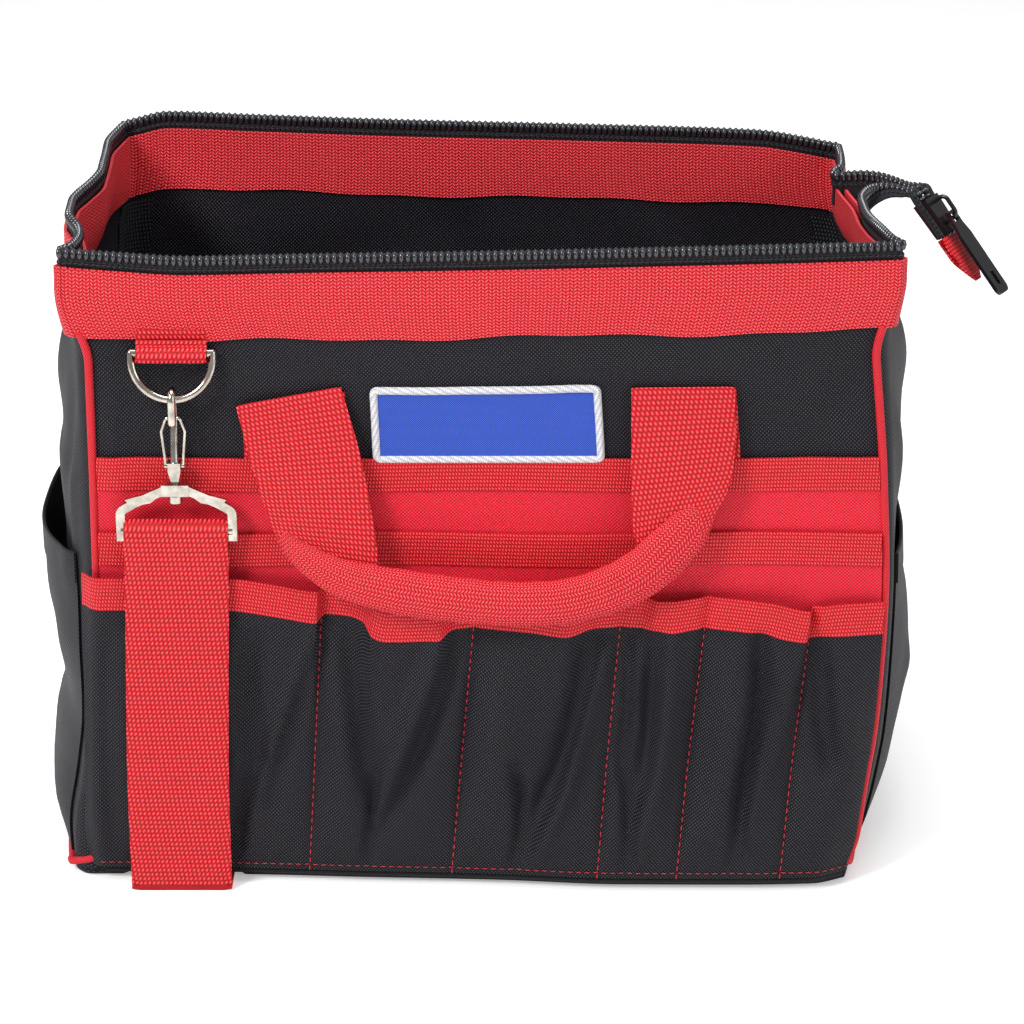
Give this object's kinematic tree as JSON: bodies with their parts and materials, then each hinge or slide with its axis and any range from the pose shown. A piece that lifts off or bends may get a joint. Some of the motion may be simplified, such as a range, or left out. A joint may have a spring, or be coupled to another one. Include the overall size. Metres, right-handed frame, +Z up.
{
  "type": "zippered tool bag",
  "caption": "Soft tool bag with a zip mouth, pleated outer pockets, webbing carry handles and a shoulder strap clipped to D-rings by swivel snap hooks.",
  "frame": {"origin": "middle of the face that the bag stands on", "axes": "+Z up, +X along the bag's length towards the end where the zip's tail hangs, -Y out of the front with the patch and the pleated pockets"},
  "size_m": [0.4823, 0.2702, 0.3255],
  "materials": {
    "black_canvas": "coated plain-weave polyester, matt with a faint sheen",
    "red_canvas": "coated plain-weave polyester, matt",
    "red_webbing": "ribbed polypropylene webbing",
    "red_piping": "cloth over cord, matt",
    "black_piping": "cloth over cord, matt",
    "black_tape": "woven zip tape",
    "black_teeth": "glossy coil teeth",
    "black_metal": "gloss black enamel",
    "nickel": "bright nickel plate",
    "board": "matt stiff board",
    "woven_patch": "plain woven field with a raised stitched edge"
  },
  "bodies": {
    "bag": {"base_panel": "black_canvas", "front_panel": "black_canvas", "back_panel": "black_canvas", "left_side_panel": "black_canvas", "right_side_panel": "black_canvas", "front_pocket_panel": "black_canvas", "back_pocket_panel": "black_canvas", "left_side_pocket_panel": "black_canvas", "right_side_pocket_panel": "black_canvas", "left_side_pocket_binding": "black_canvas", "right_side_pocket_binding": "black_canvas", "tall_pocket_panel": "red_canvas", "middle_pocket_panel": "red_canvas", "zip_end_tab": "red_canvas", "rim_band_outer": "red_webbing", "rim_band_inner": "red_webbing", "tall_pocket_binding": "red_webbing", "middle_pocket_binding": "red_webbing", "front_pocket_binding": "red_webbing", "back_pocket_binding": "red_webbing", "front_handle_anchors": "red_webbing", "back_handle_anchors": "red_webbing", "front_ring_tab": "red_webbing", "back_ring_tab": "red_webbing", "strap_front_drop": "red_webbing", "strap_under_run": "red_webbing", "strap_back_rise": "red_webbing", "left_side_piping": "red_piping", "right_side_piping": "red_piping", "base_piping": "black_piping", "zip_tape_front": "black_tape", "zip_tape_back": "black_tape", "inner_seam_bindings": "black_tape", "zip_chain_front": "black_teeth", "zip_chain_back": "black_teeth", "base_board": "board", "front_patch": "woven_patch"},
    "slider": {"zip_slider": "black_metal"},
    "pull": {"zip_pull": "black_metal"},
    "adjuster": {"strap_adjuster": "nickel"},
    "front_handle": {"front_handle_webbing": "red_webbing", "front_handle_grip": "red_webbing"},
    "front_ring": {"front_d_ring": "nickel"},
    "front_bail": {"front_strap_bail": "nickel"},
    "front_hook": {"front_snap_hook": "nickel"},
    "front_gate": {"front_hook_gate": "nickel"},
    "back_handle": {"back_handle_webbing": "red_webbing", "back_handle_grip": "red_webbing"},
    "back_ring": {"back_d_ring": "nickel"},
    "back_bail": {"back_strap_bail": "nickel"},
    "back_hook": {"back_snap_hook": "nickel"},
    "back_gate": {"back_hook_gate": "nickel"}
  },
  "joints": [
    {"name": "zip_slider_run", "type": "slide", "parent": "bag", "child": "slider", "axis": [-0.5567, 0.3214, 0.766], "range_m": [0, 0.004]},
    {"name": "zip_pull_swing", "type": "hinge", "parent": "slider", "child": "pull", "pos_m": [0.23372, 0.01123, 0.30919], "axis": [-0.5, -0.866, 0], "range_deg": [0, 110]},
    {"name": "front_handle_swing", "type": "hinge", "parent": "bag", "child": "front_handle", "pos_m": [0.005, -0.10755, 0.258], "axis": [-1, 0, 0], "range_deg": [0, 165]},
    {"name": "front_ring_swing", "type": "hinge", "parent": "bag", "child": "front_ring", "pos_m": [-0.143, -0.1088, 0.277], "axis": [-1, 0, 0], "range_deg": [0, 20]},
    {"name": "front_bail_swing", "type": "hinge", "parent": "bag", "child": "front_bail", "pos_m": [-0.143, -0.1088, 0.277], "axis": [-1, 0, 0], "range_deg": [0, 20], "deforming": ["strap_front_drop"]},
    {"name": "front_hook_swivel", "type": "hinge", "parent": "front_bail", "child": "front_hook", "pos_m": [-0.143, -0.115, 0.214], "axis": [0, 0, 1], "range_deg": [-15, 15]},
    {"name": "front_gate_press", "type": "hinge", "parent": "front_hook", "child": "front_gate", "pos_m": [-0.143, -0.115, 0.223], "axis": [-1, 0, 0], "range_deg": [0, 6], "stiffness_Nm_per_rad": 0.05, "springref_deg": -2.86},
    {"name": "back_handle_swing", "type": "hinge", "parent": "bag", "child": "back_handle", "pos_m": [0.005, 0.10755, 0.258], "axis": [1, 0, 0], "range_deg": [0, 165]},
    {"name": "back_ring_swing", "type": "hinge", "parent": "bag", "child": "back_ring", "pos_m": [-0.143, 0.1088, 0.277], "axis": [1, 0, 0], "range_deg": [0, 20]},
    {"name": "back_bail_swing", "type": "hinge", "parent": "bag", "child": "back_bail", "pos_m": [-0.143, 0.1088, 0.277], "axis": [1, 0, 0], "range_deg": [0, 20], "deforming": ["strap_back_rise"]},
    {"name": "back_hook_swivel", "type": "hinge", "parent": "back_bail", "child": "back_hook", "pos_m": [-0.143, 0.115, 0.214], "axis": [0, 0, 1], "range_deg": [-15, 15]},
    {"name": "back_gate_press", "type": "hinge", "parent": "back_hook", "child": "back_gate", "pos_m": [-0.143, 0.115, 0.223], "axis": [1, 0, 0], "range_deg": [0, 6], "stiffness_Nm_per_rad": 0.05, "springref_deg": -2.86},
    {"name": "strap_adjuster_slide", "type": "slide", "parent": "bag", "child": "adjuster", "axis": [0, 0, 1], "range_m": [-0.03, 0.03], "deforming": ["strap_back_rise"]}
  ],
  "couplings": [
    {"joint": "front_bail_swing", "follows": "front_ring_swing", "ratio": 1},
    {"joint": "back_bail_swing", "follows": "back_ring_swing", "ratio": 1}
  ]
}
